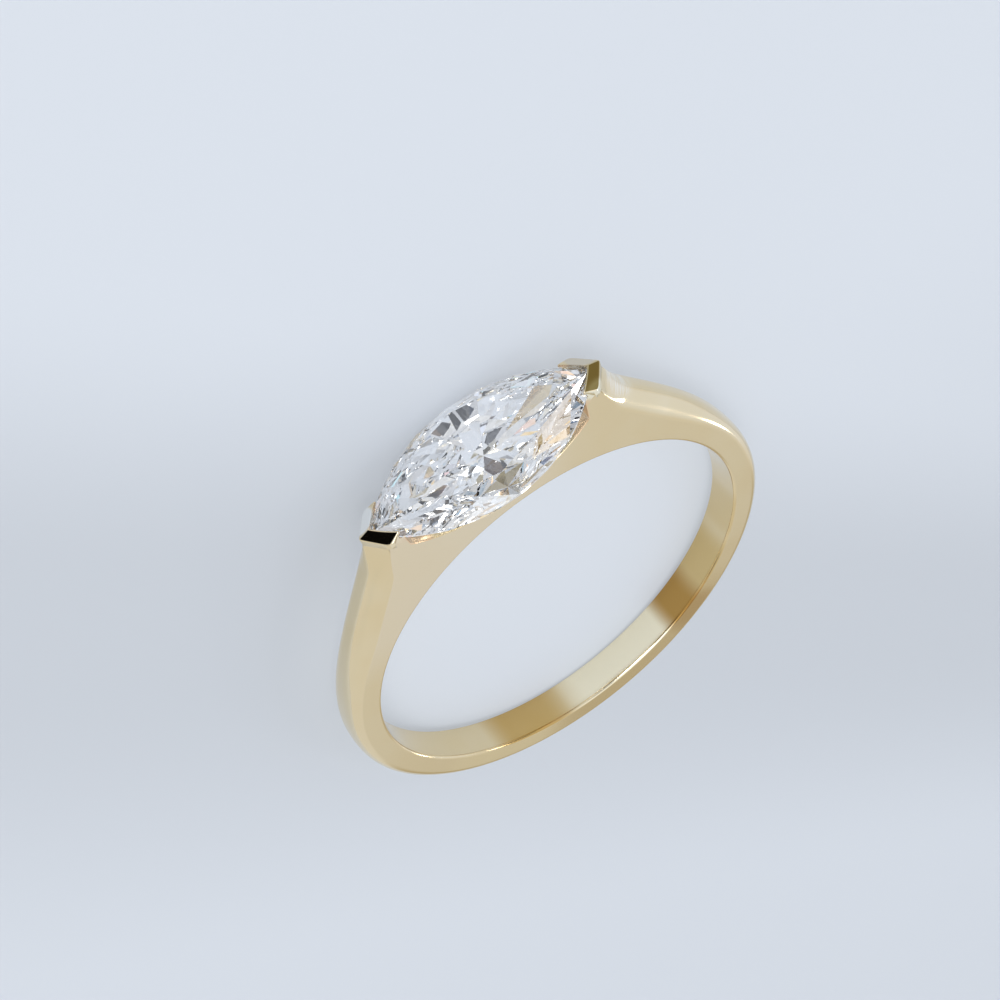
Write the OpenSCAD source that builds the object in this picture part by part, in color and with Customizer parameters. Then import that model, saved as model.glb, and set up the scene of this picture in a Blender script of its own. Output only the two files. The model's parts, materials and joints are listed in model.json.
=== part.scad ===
// Marquise solitaire ring with the stone set across the finger, lying on its side.
// Both pieces are drawn upright first: X runs along the stone, Y along the finger, Z up
// through the stone, with the centre of the finger opening at the origin. The ring is then
// laid down on the two points that it rests on: the stone's belly and the far rim of the shank.

/* [Band] */
// Diameter of the finger opening
finger_d = 17.3; // [16:0.1:19]
// Width of the band along the finger
band_w = 1.6; // [1.4:0.05:1.8]
// Thickness of the shank from the finger to its crest
shank_t = 1.4; // [1.2:0.05:1.6]
// Height of the rounded outer side above the flat flanks, on the shank
shank_dome = 0.27; // [0.2:0.01:0.5]

/* [Shoulders] */
// Height of the rounded outer side above the flat flanks, on the shoulders
shoulder_dome = 0.75; // [0.6:0.05:0.9]
// Angle from the stone down to where the shoulders leave the round shank
shoulder_from = 74; // [68:1:78]
// Pull of the shoulder's curve where it leaves the shank
shoulder_pull = 3.5; // [2.5:0.1:4]
// Pull of the shoulder's curve where it reaches the scoop
scoop_pull = 2.5; // [1.5:0.1:3]
// Distance that the scoop's foot stands outside the nose
scoop_out = 0.56; // [0.45:0.01:0.65]
// Height of the scoop's foot above the finger opening
scoop_foot_h = 1.5; // [1.4:0.05:1.6]
// Height of the scoop's corner above the finger opening
scoop_corner_h = 1.78; // [1.7:0.01:2]
// How far the scoop's corner lies out from the nose
scoop_corner_out = 0.39; // [0.3:0.01:0.42]
// Height of the nose's upright edge above the finger opening
nose_foot_h = 2.95; // [2.8:0.05:3]

/* [Stone] */
// Length of the stone from tip to tip
stone_l = 9.85; // [9.4:0.05:10.2]
// Width of the stone at its belly
stone_w = 4.75; // [4.4:0.05:5]
// Height of the crown above the girdle
crown_h = 0.68; // [0.55:0.01:0.75]
// Height of the girdle
girdle_h = 0.14; // [0.12:0.01:0.18]
// Depth of the pavilion below the girdle
pavilion_h = 2.2; // [1.8:0.05:2.25]
// Size of the table as a share of the outline
table_share = 0.69; // [0.64:0.01:0.72]
// Height of the star facets' corners as a share of the crown
star_share = 0.72; // [0.65:0.01:0.76]
// Depth of the lower girdle facets as a share of the pavilion
lower_share = 0.76; // [0.7:0.01:0.8]

/* [Setting] */
// Height of the girdle's middle above the finger opening
girdle_lift = 3.17; // [3.1:0.01:3.4]
// Thickness of a V prong outside the stone's tip
prong_t = 0.445; // [0.38:0.005:0.5]
// Height of a prong's inner corner above the girdle's middle
prong_rise = 0.39; // [0.36:0.01:0.46]
// Fall of a prong's two top facets for each millimetre along the stone
facet_fall_x = 0.4; // [0.35:0.01:0.5]
// Fall of a prong's two top facets for each millimetre along the finger
facet_fall_y = 0.42; // [0.36:0.01:0.5]
// Distance of a post's inner face from the ring's middle, at its foot
post_foot_x = 3.95; // [3.9:0.01:4]
// Distance of a post's inner face from the ring's middle, at its top
post_top_x = 4.1; // [4.05:0.01:4.15]
// Height of a post's upright foot above the bottom of the scallop
post_foot_h = 1.3; // [1.2:0.05:1.4]
// Thickness of the bridge under the stone, at its thinnest
bridge_t = 0.7; // [0.6:0.05:0.8]
// Radius of the shallow scallop in the bridge
scallop_r = 6.3; // [6:0.1:7]
// Gap between the stone and its seat
seat_gap = 0.03; // [0.02:0.01:0.05]
// Extra depth of the seat, which clears the stone's facet edges
seat_relief = 0.15; // [0.12:0.01:0.2]
// How far the prong's lip reaches over the stone's tip
lip = 0.06; // [0.04:0.01:0.08]

/* [Hidden] */
$fn = 180;

finger_r = finger_d / 2;
crest_r = finger_r + shank_t;
flank_r = crest_r - shank_dome;
half_w = band_w / 2;
girdle_z = finger_r + girdle_lift;

// Radius of the two arcs of a marquise outline from its half length and half width
function arc_r(half_l, half_b) = (half_l * half_l + half_b * half_b) / (2 * half_b);

stone_half_l = stone_l / 2;
stone_half_w = stone_w / 2;
outline_r = arc_r(stone_half_l, stone_half_w);

// The two points that the ring rests on set its tilt and its height. The shift puts the
// middle of its footprint at the origin.
table_top = girdle_z + girdle_h / 2 + crown_h;
rest_tilt = atan((stone_half_w - half_w) / (girdle_z - girdle_h / 2 + flank_r));
rest_lift = flank_r * sin(rest_tilt) + half_w * cos(rest_tilt);
rest_shift = (table_top - crest_r) * cos(rest_tilt) / 2;

function lerp(a, b, t) = a + (b - a) * t;
function smooth(t) = let (c = max(0, min(1, t))) c * c * (3 - 2 * c);
function bezier2(a, b, c, t) = lerp(lerp(a, b, t), lerp(b, c, t), t);
function bezier3(a, b, c, d, t) = lerp(bezier2(a, b, c, t), bezier2(b, c, d, t), t);
function unit(v) = v / norm(v);

// Height of a prong's top facets at a place along the stone and a distance off the middle plane
prong_in_x = stone_half_l - lip;
function facet_z(x, y) =
    girdle_z + prong_rise - facet_fall_x * (x - prong_in_x) - facet_fall_y * y;

// The nose is the V-shaped outer edge of a prong, a little wider than the stone's own tip
nose_spread = 1.01;
nose_x = stone_half_l + prong_t;
tip_slope = (outline_r - stone_half_w) / stone_half_l;
nose_depth = half_w * tip_slope * nose_spread;

// The crest of a shoulder: a curve up from the shank, then a small scoop under the nose
scoop_foot = [nose_x + scoop_out, finger_r + scoop_foot_h];
scoop_corner = [nose_x + scoop_corner_out, finger_r + scoop_corner_h];
scoop_top = [nose_x, finger_r + nose_foot_h];
shank_end = crest_r * [sin(shoulder_from), cos(shoulder_from)];
shank_heading = [-cos(shoulder_from), sin(shoulder_from)];
scoop_heading = unit(scoop_corner - scoop_foot);

function shoulder_crest(t) =
    bezier3(shank_end, shank_end + shoulder_pull * shank_heading,
            scoop_foot - scoop_pull * scoop_heading, scoop_foot, t);
function scoop_crest(t) = bezier2(scoop_foot, scoop_corner, scoop_top, t);

// Outward direction across a short step of a curve that climbs towards the stone
function outward(from, to) = let (d = unit(to - from)) [d.y, -d.x];

// A station of the band is a row of these columns. Power 1 gives the V of the nose, and 2.5
// a rounded dome.
function crest_of(s) = s[0];
function outward_of(s) = s[1];
function dome_of(s) = s[2];
function power_of(s) = s[3];
function top_fall_of(s) = s[4];
nose_power = 1;
round_power = 2.5;

// The head's top runs level to just inside the posts, then falls to the nose
head_x = post_foot_x - 0.1;
head_stations = [
    for (x = [0, head_x])
        [[x, facet_z(head_x, 0)], [0, 1], 0, nose_power, facet_fall_y * half_w],
    [[nose_x, facet_z(nose_x, 0)], [1, 0], nose_depth, nose_power,
        facet_fall_y * half_w - facet_fall_x * nose_depth],
];

short_step = 0.001;
scoop_steps = 6;
scoop_stations = [
    for (i = [scoop_steps : -1 : 1])
        let (t = i / scoop_steps)
        [scoop_crest(t), outward(scoop_crest(t - short_step), scoop_crest(t)),
            lerp(shoulder_dome, nose_depth, t), lerp(round_power, nose_power, smooth(t)), 0],
];

// The dome has its full height well before the shoulder reaches the scoop
dome_growth = 1.6;
shoulder_steps = 16;
shoulder_stations = [
    for (i = [shoulder_steps : -1 : 1])
        let (t = i / shoulder_steps)
        [shoulder_crest(t), outward(shoulder_crest(t - short_step), shoulder_crest(t)),
            lerp(shank_dome, shoulder_dome, smooth(dome_growth * t)), round_power, 0],
];

shank_step = 4;
shank_arc = 180 - shoulder_from;
shank_steps = ceil(shank_arc / shank_step);
shank_stations = [
    for (i = [0 : shank_steps])
        let (a = shoulder_from + shank_arc * i / shank_steps)
        [crest_r * [sin(a), cos(a)], [sin(a), cos(a)], shank_dome, round_power, 0],
];
right_half = concat(head_stations, scoop_stations, shoulder_stations, shank_stations);

function flip_x(p) = [-p.x, p.y];
function mirrored(s) =
    [flip_x(crest_of(s)), flip_x(outward_of(s)), dome_of(s), power_of(s), top_fall_of(s)];
stations = concat(right_half,
    [for (i = [len(right_half) - 2 : -1 : 1]) mirrored(right_half[i])]);

// Outer point of a station at a share of the half width, as [X, Z]
function outer_point(s, share) =
    crest_of(s) - outward_of(s) * dome_of(s) * pow(abs(share), power_of(s))
        - [0, top_fall_of(s) * abs(share)];

// The blank's foot lies inside the finger opening, which is cut out of it later
foot_sink = 0.4;
foot_r = finger_r - foot_sink;
function foot_point(s) = foot_r * unit(outer_point(s, 1));

shares = [-1, -0.9, -0.7, -0.4, 0, 0.4, 0.7, 0.9, 1];
ring_size = len(shares) + 2;

function section(s) = let (foot = foot_point(s)) concat(
    [[foot.x, -half_w, foot.y]],
    [for (v = shares) let (p = outer_point(s, v)) [p.x, v * half_w, p.y]],
    [[foot.x, half_w, foot.y]]);

// Triangles between the closed row of sections, each a closed ring of points
function loop_faces(rows, size) = [
    for (i = [0 : rows - 1], j = [0 : size - 1])
        let (a = i * size + j, b = i * size + (j + 1) % size,
             next = ((i + 1) % rows) * size, c = next + j, d = next + (j + 1) % size)
        each [[a, c, b], [b, c, d]]
];

module band_blank() {
    polyhedron(points = [for (s = stations) each section(s)],
               faces = loop_faces(len(stations), ring_size));
}

// Opening between the posts, with the scallop as its floor. Cuts run past the band's sides
// and past its top.
cut_w = 2 * band_w;
cut_over = 2;
module gallery() {
    scallop_z = finger_r + bridge_t;
    foot_z = scallop_z + post_foot_h;
    top_z = girdle_z + cut_over;
    intersection() {
        translate([0, 0, scallop_z + scallop_r])
            rotate([90, 0, 0]) cylinder(r = scallop_r, h = cut_w, center = true);
        rotate([90, 0, 0])
            linear_extrude(height = cut_w, center = true)
                polygon([[-post_foot_x, scallop_z], [post_foot_x, scallop_z],
                         [post_foot_x, foot_z], [post_top_x, top_z],
                         [-post_top_x, top_z], [-post_foot_x, foot_z]]);
    }
}

// Point of a marquise outline: 0 is the right tip, 2 the belly, 4 the left tip, 8 the
// right tip again, with equal steps along the arcs
function outline_point(half_l, half_b, k) =
    let (r = arc_r(half_l, half_b), span = asin(half_l / r), side = k < 4 ? 1 : -1,
         a = span * (1 - (side > 0 ? k : 8 - k) / 2))
    [r * sin(a), side * (r * cos(a) - (r - half_b))];
function outline_points(half_l, half_b, per_arc_quarter) =
    [for (i = [0 : 4 * per_arc_quarter - 1])
        outline_point(half_l, half_b, 2 * i / per_arc_quarter)];

// Seat of the stone: its grown pavilion and girdle, the sloping lip, then a narrower shaft
seat_cuts = 12;
module seat() {
    half_girdle = girdle_h / 2 + seat_gap;
    grown = outline_points(stone_half_l + seat_gap, stone_half_w + seat_gap, seat_cuts);
    narrow = outline_points(stone_half_l - lip, stone_half_w - lip, seat_cuts);
    rows = [for (level = [[grown, -half_girdle], [grown, half_girdle],
                          [narrow, half_girdle + lip + seat_gap], [narrow, cut_over]])
        [for (p = level[0]) [p.x, p.y, level[1]]]];
    count = len(grown);
    translate([0, 0, girdle_z])
        polyhedron(
            points = concat([[0, 0, -half_girdle - pavilion_h - seat_relief]],
                            [for (row = rows) each row]),
            faces = concat(
                [for (i = [0 : count - 1]) [0, 1 + i, 1 + (i + 1) % count]],
                [for (row = [0 : len(rows) - 2], i = [0 : count - 1])
                    let (a = 1 + row * count + i, b = 1 + row * count + (i + 1) % count)
                    each [[a, a + count, b], [b, a + count, b + count]]],
                [[for (i = [count - 1 : -1 : 0]) 1 + (len(rows) - 1) * count + i]]));
}

module band() {
    color([0.86, 0.76, 0.52])
        difference() {
            band_blank();
            rotate([90, 0, 0]) cylinder(r = finger_r, h = cut_w, center = true);
            gallery();
            seat();
        }
}

// A plane is [unit normal, distance]; meet gives the point shared by three planes
function plane(a, b, c) = let (n = unit(cross(b - a, c - a))) [n, n * a];
function meet(p, q, r) =
    (p[1] * cross(q[0], r[0]) + q[1] * cross(r[0], p[0]) + r[1] * cross(p[0], q[0]))
        / (p[0] * cross(q[0], r[0]));
function height_on(p, at) = (p[1] - p[0].x * at.x - p[0].y * at.y) / p[0].z;

// Facet corners of the stone, around its own girdle's middle. Main facets sit at the whole
// steps of the outline, and touch it along its tangent.
mains = 8;
top_girdle_z = girdle_h / 2;
table_z = top_girdle_z + crown_h;
star_z = top_girdle_z + star_share * crown_h;
culet_z = -top_girdle_z - pavilion_h;
lower_ridge_z = -top_girdle_z - lower_share * pavilion_h;

function rim(k) = outline_point(stone_half_l, stone_half_w, (k + mains) % mains);
function rim_heading(k) =
    k % 4 == 0 ? [0, k % mains == 0 ? 1 : -1] : unit(rim(k + short_step) - rim(k - short_step));
function lift(p, z) = [p.x, p.y, z];
function table_corner(k) = lift(table_share * rim(k), table_z);
function crown_main(k) =
    plane(lift(rim(k), top_girdle_z), lift(rim(k) + rim_heading(k), top_girdle_z),
          table_corner(k));
function pavilion_main(k) =
    plane(lift(rim(k), -top_girdle_z), lift(rim(k) + rim_heading(k), -top_girdle_z),
          [0, 0, culet_z]);
function star_corner(k) =
    meet(crown_main(k), crown_main((k + 1) % mains), [[0, 0, 1], star_z]);
function lower_corner(k) =
    meet(pavilion_main(k), pavilion_main((k + 1) % mains), [[0, 0, 1], lower_ridge_z]);

// Rim points between whole steps lie on the planes of the girdle facets, in a scalloped line
arc_cuts = 4;
rim_count = 2 * mains * arc_cuts;
function rim_step(i) = i / (2 * arc_cuts);
function half_step_plane(i, corner, z) =
    let (low = floor(i / arc_cuts) / 2)
    plane(lift(rim(low), z), lift(rim(low + 0.5), z), corner);
function rim_point(i, corner, z) =
    let (p = rim(rim_step(i)))
    i % arc_cuts == 0 ? lift(p, z) : lift(p, height_on(half_step_plane(i, corner, z), p));

stone_points = concat(
    [for (k = [0 : mains - 1]) table_corner(k)],
    [for (k = [0 : mains - 1]) star_corner(k)],
    [for (i = [0 : rim_count - 1])
        rim_point(i, star_corner(floor(rim_step(i))), top_girdle_z)],
    [for (i = [0 : rim_count - 1])
        rim_point(i, lower_corner(floor(rim_step(i))), -top_girdle_z)],
    [for (k = [0 : mains - 1]) lower_corner(k)],
    [[0, 0, culet_z]]);

star_at = mains;
upper_at = 2 * mains;
lower_at = upper_at + rim_count;
ridge_at = lower_at + rim_count;
culet_at = ridge_at + mains;
per_main = 2 * arc_cuts;

function fan(apex, from, first, last) =
    [for (i = [first : last - 1]) [apex, from + i % rim_count, from + (i + 1) % rim_count]];
function flipped(faces) = [for (f = faces) [f[0], f[2], f[1]]];

crown_faces = concat(
    [for (i = [1 : mains - 2]) [0, i, i + 1]],
    [for (k = [0 : mains - 1]) let (n = (k + 1) % mains, before = (k + mains - 1) % mains)
        each concat([[k, star_at + k, n]],
            [[k, star_at + before, upper_at + k * per_main]],
            [[k, upper_at + k * per_main, star_at + k]],
            fan(star_at + k, upper_at, k * per_main, (k + 1) * per_main))]);
pavilion_faces = [for (k = [0 : mains - 1]) let (before = (k + mains - 1) % mains)
    each concat([[culet_at, ridge_at + before, lower_at + k * per_main]],
        [[culet_at, lower_at + k * per_main, ridge_at + k]],
        fan(ridge_at + k, lower_at, k * per_main, (k + 1) * per_main))];
girdle_faces = [for (i = [0 : rim_count - 1]) let (n = (i + 1) % rim_count)
    each [[upper_at + i, lower_at + i, lower_at + n], [upper_at + i, lower_at + n, upper_at + n]]];

module stone() {
    color([0.88, 0.92, 0.96, 0.6])
        translate([0, 0, girdle_z])
            polyhedron(points = stone_points,
                       faces = concat(flipped(crown_faces), pavilion_faces, flipped(girdle_faces)));
}

// Lays the upright ring on its side, with the stone towards -Y and the floor at Z = 0
module laid_down() {
    translate([0, rest_shift, rest_lift])
        rotate([90 - rest_tilt, 0, 0])
            children();
}

laid_down() band();
laid_down() stone();
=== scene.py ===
"""Looks of the marquise solitaire ring: one gold band with V prongs, and its faceted stone.

Every shape is worked out upright and in millimetres, as a jeweller draws it: X runs along
the stone, Y along the finger and Z up through the stone, with the middle of the finger
opening at the origin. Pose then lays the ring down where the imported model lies, in metres.
"""

import json
import logging
import math
from dataclasses import dataclass
from enum import Enum
from typing import Callable, Sequence, Union

import bmesh
import bpy
import numpy as np
from mathutils import Matrix, Vector, geometry

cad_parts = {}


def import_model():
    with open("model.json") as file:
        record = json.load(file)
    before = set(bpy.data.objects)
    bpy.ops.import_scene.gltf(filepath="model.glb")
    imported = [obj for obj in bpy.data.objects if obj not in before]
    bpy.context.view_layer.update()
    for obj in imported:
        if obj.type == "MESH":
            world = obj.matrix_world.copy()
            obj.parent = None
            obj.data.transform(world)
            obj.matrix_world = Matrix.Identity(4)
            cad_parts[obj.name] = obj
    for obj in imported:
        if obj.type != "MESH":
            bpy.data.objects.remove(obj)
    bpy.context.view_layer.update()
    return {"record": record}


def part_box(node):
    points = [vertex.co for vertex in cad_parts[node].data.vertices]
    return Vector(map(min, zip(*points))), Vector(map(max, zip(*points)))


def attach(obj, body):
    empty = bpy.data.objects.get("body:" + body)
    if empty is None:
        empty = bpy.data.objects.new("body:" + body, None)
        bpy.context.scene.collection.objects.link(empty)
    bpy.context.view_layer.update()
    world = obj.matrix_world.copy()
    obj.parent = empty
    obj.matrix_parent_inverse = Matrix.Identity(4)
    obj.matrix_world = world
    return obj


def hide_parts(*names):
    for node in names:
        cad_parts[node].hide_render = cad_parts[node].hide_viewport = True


LOG = logging.getLogger("ring")
Array = np.ndarray
Place = Union[float, Array, Callable]
MM = 0.001


def unit(vectors: Array) -> Array:
    """Scale the vectors in an array's last axis to length one."""
    size = np.linalg.norm(vectors, axis=-1, keepdims=True)
    return vectors / np.maximum(size, 1e-12)


def length(vectors: Array) -> Array:
    """Measure the first three parts of the vectors in an array's last axis, which is kept."""
    return np.linalg.norm(vectors[..., :3], axis=-1, keepdims=True)


def smooth(share: Array) -> Array:
    """Ease a share from 0 to 1: three times its square less twice its cube."""
    held = np.clip(share, 0.0, 1.0)
    return held * held * (3.0 - 2.0 * held)


def bezier(points: Sequence[Array], share: Array) -> Array:
    """Follow a Bezier curve: repeated blends between neighbouring control points.

    Args:
        points: Control points, each of two or three parts.
        share: Places along the curve, from 0 to 1.

    Returns:
        One point for each place.
    """
    row = [np.broadcast_to(p, share.shape + (len(p),)) for p in points]
    while len(row) > 1:
        row = [a + (b - a) * share[..., None] for a, b in zip(row, row[1:])]
    return row[0]


def dimmed(colour: Sequence[float], share: float) -> tuple:
    """Darken a colour to a share of itself."""
    return tuple(part * share for part in colour)


def compass(azimuth: float, elevation: float) -> tuple:
    """Turn an azimuth and an elevation in degrees into a unit vector."""
    az, el = math.radians(azimuth), math.radians(elevation)
    return (math.cos(el) * math.sin(az), -math.cos(el) * math.cos(az), math.sin(el))


def facing(eye: Vector, way: Vector) -> Matrix:
    """Stand something at a point so that it looks along a direction."""
    return Matrix.Translation(eye) @ way.to_track_quat("-Z", "Y").to_matrix().to_4x4()


def add_object(name: str, data: bpy.types.ID) -> bpy.types.Object:
    """Put a mesh, a light or a camera into the scene."""
    made = bpy.data.objects.new(name, data)
    bpy.context.scene.collection.objects.link(made)
    return made


class Zone(Enum):
    """Parts of the band's skin that are finished in their own way, by attribute name."""

    FLANK = "flank"
    BORE = "bore"
    SEAT = "seat"
    HEAD = "head"
    EDGE = "edge"


@dataclass(frozen=True)
class Pose:
    """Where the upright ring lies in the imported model.

    The directions are unit vectors of the model's frame, and the centre is in metres.
    """

    centre: Array
    along: Array
    finger: Array
    up: Array
    bore_r: float

    @classmethod
    def of_record(cls, record: dict) -> "Pose":
        """Read the pose from the record's finger bore.

        Args:
            record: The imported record.

        Returns:
            The pose, with the bore's radius in millimetres.
        """
        bore = next(m for m in record["mounts"] if m["name"] == "finger_bore")
        along = np.array([1.0, 0.0, 0.0])
        finger = unit(np.array(bore["axis"], float))
        return cls(np.array(bore["pos_m"], float), along, finger,
                   np.cross(along, finger), bore["dims"]["r_mm"])

    def turned(self, vectors: Array) -> Array:
        """Turn upright directions into the model's frame."""
        return np.asarray(vectors, float) @ np.stack([self.along, self.finger, self.up])

    def placed(self, points_mm: Array) -> Array:
        """Lay upright points in millimetres down into the model's frame, in metres."""
        return self.centre + self.turned(points_mm) * MM


@dataclass(frozen=True)
class Marquise:
    """A marquise outline: two equal arcs that meet in two tips."""

    half_l: float
    half_w: float

    @property
    def arc_r(self) -> float:
        """Radius of the arcs from the half length and the half width."""
        return (self.half_l ** 2 + self.half_w ** 2) / (2.0 * self.half_w)

    @property
    def arc_drop(self) -> float:
        """Distance of an arc's centre from the outline's long axis."""
        return self.arc_r - self.half_w

    def point(self, step: Array) -> Array:
        """Walk round the outline by equal angles: 0 is the right tip, 2 the belly, 4 the left tip.

        Args:
            step: Places from 0 to 8, of any shape.

        Returns:
            The points, as X and Y.
        """
        step = np.mod(step, 8.0)
        side = np.where(step < 4.0, 1.0, -1.0)
        local = np.where(step < 4.0, step, 8.0 - step)
        angle = math.asin(self.half_l / self.arc_r) * (1.0 - local / 2.0)
        x = self.arc_r * np.sin(angle)
        return np.stack([x, side * (self.arc_r * np.cos(angle) - self.arc_drop)], -1)

    def reach(self, y: Array) -> Array:
        """Give the outline's half length at a distance off its long axis, by Pythagoras."""
        return np.sqrt(self.arc_r ** 2 - (np.abs(y) + self.arc_drop) ** 2)

    def scale_through(self, x: Array, y: Array) -> Array:
        """Find the share by which the outline shrinks to pass through a point.

        The scaled arc's equation is a quadratic in the share, solved for its positive root.

        Args:
            x: The point's place along the outline's long axis.
            y: Its distance off that axis.

        Returns:
            The share, of the same shape as the places.
        """
        drop, half_l = self.arc_drop, self.half_l
        y = np.abs(y)
        root = np.sqrt((y * drop) ** 2 + half_l ** 2 * (x ** 2 + y ** 2))
        return (y * drop + root) / half_l ** 2


def make_piece(name: str, points: Array, faces: Sequence[Sequence[int]],
               node: str, normals: Array = None) -> bpy.types.Object:
    """Put a closed mesh into the scene as a piece that stands for a CAD node.

    Args:
        name: The piece's name.
        points: Corners in metres, in the model's frame.
        faces: Corner numbers of each face.
        node: CAD node that the piece replaces.
        normals: A normal for each corner, or none for flat faces.

    Returns:
        The piece's object, with its faces turned outwards.
    """
    mesh = bpy.data.meshes.new(name)
    mesh.from_pydata(points.tolist(), [], [list(map(int, f)) for f in faces])
    shell = bmesh.new()
    shell.from_mesh(mesh)
    bmesh.ops.recalc_face_normals(shell, faces=shell.faces)
    shell.to_mesh(mesh)
    shell.free()
    if normals is None:
        mesh.shade_flat()
    else:
        mesh.shade_smooth()
        mesh.normals_split_custom_set_from_vertices(normals.tolist())
    mesh.update()
    piece = add_object(name, mesh)
    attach(piece, "root")
    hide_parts(node)
    LOG.info("%s: %d corners, %d faces", name, len(points), len(faces))
    return piece


Value = Union["Wire", float]


class Wire:
    """A shader socket on which Python's own operators add Math nodes."""

    def __init__(self, kit: "NodeKit", socket: bpy.types.NodeSocket) -> None:
        """Wrap a socket of a node tree."""
        self.kit = kit
        self.socket = socket

    def __add__(self, other: Value) -> "Wire":
        """Add a value."""
        return self.kit.maths("ADD", self, other)

    __radd__ = __add__

    def __mul__(self, other: Value) -> "Wire":
        """Multiply by a value."""
        return self.kit.maths("MULTIPLY", self, other)

    __rmul__ = __mul__

    def __sub__(self, other: Value) -> "Wire":
        """Take a value away."""
        return self.kit.maths("SUBTRACT", self, other)

    def __rsub__(self, other: Value) -> "Wire":
        """Take this wire away from a value."""
        return self.kit.maths("SUBTRACT", other, self)

    def rise(self, low: float, high: float) -> "Wire":
        """Ease from 0 at the low end to 1 at the high end, which may lie the other way round."""
        return self.kit.node("ShaderNodeMapRange", {"interpolation_type": "SMOOTHSTEP"},
                             {"Value": self, "From Min": low, "From Max": high})

    def rise_mm(self, low: float, high: float) -> "Wire":
        """Ease a length in the same way, between two ends in millimetres."""
        return self.rise(low * MM, high * MM)


class NodeKit:
    """Builds one material's or world's nodes."""

    def __init__(self, tree: bpy.types.NodeTree) -> None:
        """Start with an empty tree."""
        self.tree = tree
        tree.nodes.clear()

    def node(self, kind: str, settings: dict = None,
             inputs: Union[dict, Sequence] = (), output: Union[int, str] = 0) -> Wire:
        """Add a node.

        Args:
            kind: The node's type.
            settings: Properties, set before the inputs.
            inputs: Values or wires, by socket or in order. A colour has three parts.
            output: Which output to give back.

        Returns:
            The chosen output, or the node's first input where it has no outputs.
        """
        made = self.tree.nodes.new(kind)
        for key, value in (settings or {}).items():
            setattr(made, key, value)
        named = inputs.items() if isinstance(inputs, dict) else enumerate(inputs)
        for key, value in named:
            socket = made.inputs[key]
            if isinstance(value, Wire):
                self.tree.links.new(value.socket, socket)
            else:
                socket.default_value = (*value, 1.0) if socket.type == "RGBA" else value
        return Wire(self, made.outputs[output] if made.outputs else made.inputs[0])

    def maths(self, operation: str, *values: Value) -> Wire:
        """Add a Math node."""
        return self.node("ShaderNodeMath", {"operation": operation}, values)

    def vector(self, operation: str, *vectors: object, output: str = "Vector") -> Wire:
        """Add a Vector Math node."""
        return self.node("ShaderNodeVectorMath", {"operation": operation}, vectors, output)

    def dot(self, vector: Wire, direction: Sequence[float]) -> Wire:
        """Measure a vector along a fixed direction."""
        return self.vector("DOT_PRODUCT", vector, tuple(direction), output="Value")

    def away(self, spot: Wire, place: Sequence[float]) -> Wire:
        """Measure how far a point lies from a fixed place."""
        return self.vector("DISTANCE", spot, tuple(place), output="Value")

    def cone(self, way: Wire, middle: Sequence[float], width: float, softness: float) -> Wire:
        """Tell which directions lie within a cone.

        Args:
            way: The direction, as a unit vector.
            middle: The cone's middle, as a unit vector.
            width: Degrees from its middle to its border.
            softness: Degrees over which the border fades.

        Returns:
            1 within the cone and 0 beyond it.
        """
        outer, inner = (math.cos(math.radians(max(width + side * softness, 0.0)))
                        for side in (0.5, -0.5))
        return self.dot(way, middle).rise(outer, inner)

    def mix(self, factor: Value, low: object, high: object) -> Wire:
        """Blend two colours by a factor. The Mix node's colour sockets are 6, 7 and, out, 2."""
        return self.node("ShaderNodeMix", {"data_type": "RGBA"}, {0: factor, 6: low, 7: high}, 2)

    def noise(self, vector: Wire, size_mm: float, detail: float, rough: float = 0.5) -> Wire:
        """Draw fractal noise, from 0 to 1, whose largest spots have about the size given."""
        return self.node("ShaderNodeTexNoise", {},
                         {"Vector": vector, "Scale": 1.0 / (size_mm * MM), "Detail": detail,
                          "Roughness": rough})

    def surface(self, values: dict) -> None:
        """Close the material with a Principled shader."""
        shader = self.node("ShaderNodeBsdfPrincipled", {}, values)
        self.node("ShaderNodeOutputMaterial", {}, {"Surface": shader})


def new_material(name: str) -> tuple:
    """Start a material.

    Args:
        name: The material's name.

    Returns:
        The material and its node kit.
    """
    material = bpy.data.materials.new(name)
    material.use_nodes = True
    return material, NodeKit(material.node_tree)


@dataclass(frozen=True)
class ReflectionStretch:
    """A stretch of the ring where a painted reflection, lighter or darker, is blended into the
    gold's colour.

    The angle turns from the head towards +X, in degrees, and the tone fades over the blur.
    """

    angle: float
    reach: float
    blur: float
    tone: tuple
    bore: float
    flank: float = 0.0

    def share(self, kit: NodeKit, way: Wire) -> Wire:
        """Give 1 within the stretch and 0 beyond it, by the direction from the finger's axis."""
        turn = math.radians(self.angle)
        return kit.cone(way, (math.sin(turn), 0.0, math.cos(turn)), self.reach, self.blur)


@dataclass(frozen=True)
class Spot:
    """A round place on the ring where the colour blends to a given tone: upright centre and
    radius.

    The tone is full within the core, which is a share of the radius.
    """

    at: tuple
    radius: float
    tone: tuple
    core: float = 0.4

    def share(self, kit: NodeKit, spot: Wire, pose: Pose) -> Wire:
        """Give 1 near the middle of the place and 0 beyond its radius."""
        away = kit.away(spot, pose.placed([self.at])[0])
        return away.rise_mm(self.radius, self.core * self.radius)


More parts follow.
